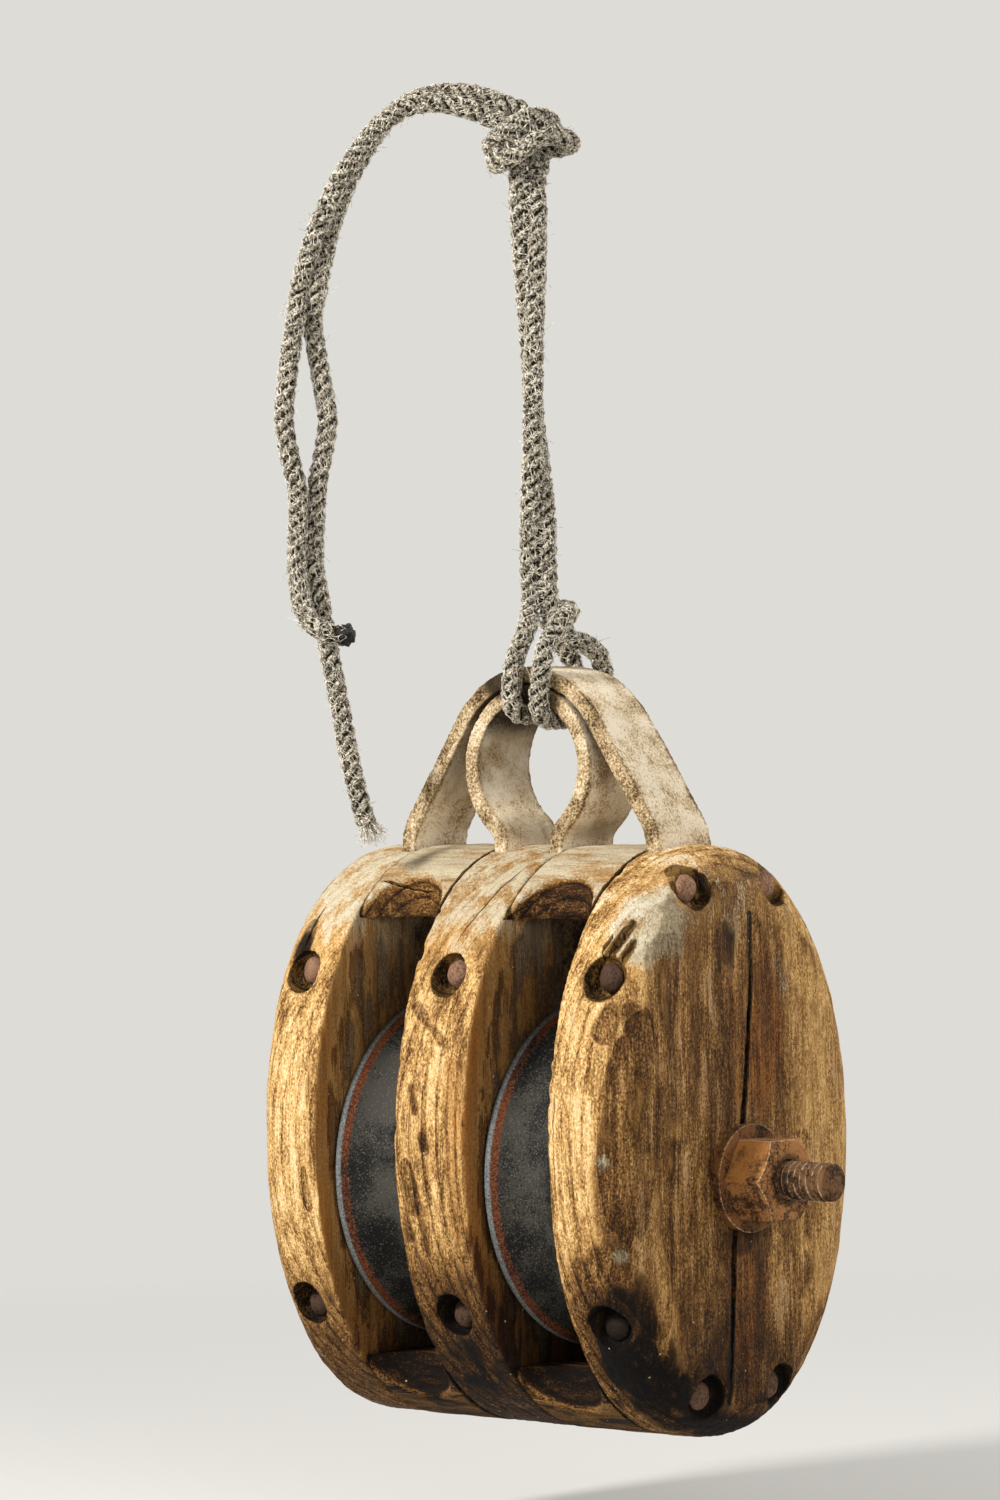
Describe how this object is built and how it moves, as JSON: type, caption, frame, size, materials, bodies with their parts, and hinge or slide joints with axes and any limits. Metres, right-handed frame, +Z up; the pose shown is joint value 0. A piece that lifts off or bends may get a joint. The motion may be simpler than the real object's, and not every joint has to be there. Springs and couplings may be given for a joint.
{
  "type": "double pulley block",
  "caption": "Ship's wooden pulley block: an oval shell with paired iron sheaves on one pin, inside iron straps forming an eye, and a knotted rope lanyard.",
  "frame": {"origin": "the middle of the lanyard's knot, from which the block hangs", "axes": "+Z up; +X along the pin towards its nut; +Y from the front to the back, across the narrow way of the block"},
  "size_m": [0.273, 0.172, 0.5923],
  "materials": {
    "shell_wood": "worn and stained, matt",
    "chock_wood": "worn end grain, matt",
    "strap_iron": "dusty forged iron, matt",
    "rusty_iron": "rusted, matt",
    "sheave_iron": "worn dark iron with rusty rims",
    "bush_bronze": "dull bronze",
    "rivet_iron": "rusted, matt",
    "rope": "weathered laid rope, fuzzy"
  },
  "bodies": {
    "shell": {"near_cheek": "shell_wood", "far_cheek": "shell_wood", "centre_partition": "shell_wood", "near_top_chock": "chock_wood", "far_top_chock": "chock_wood", "near_bottom_chock": "chock_wood", "far_bottom_chock": "chock_wood", "outer_strap": "strap_iron", "eye_strap": "strap_iron", "pin_bolt": "rusty_iron", "pin_nut": "rusty_iron", "nut_washer": "rusty_iron", "head_washer": "rusty_iron", "top_rivets": "rivet_iron", "bottom_rivets": "rivet_iron", "near_cheek_rivets": "rivet_iron", "partition_rivets": "rivet_iron", "far_cheek_rivets": "rivet_iron", "through_rivet_roves": "rivet_iron", "cross_rivet_roves": "rivet_iron", "lanyard_hitch": "rope", "lanyard_left_fall": "rope", "lanyard_right_fall": "rope", "lanyard_knot": "rope", "lanyard_burnt_tail": "rope", "lanyard_long_tail": "rope"},
    "near_sheave": {"near_sheave": "sheave_iron", "near_bush": "bush_bronze"},
    "far_sheave": {"far_sheave": "sheave_iron", "far_bush": "bush_bronze"}
  },
  "joints": [
    {"name": "near_sheave_spin", "type": "hinge", "parent": "shell", "child": "near_sheave", "pos_m": [0.04625, 0.004, -0.452], "axis": [1, 0, 0], "continuous": true},
    {"name": "far_sheave_spin", "type": "hinge", "parent": "shell", "child": "far_sheave", "pos_m": [-0.04025, 0.004, -0.452], "axis": [1, 0, 0], "continuous": true}
  ]
}
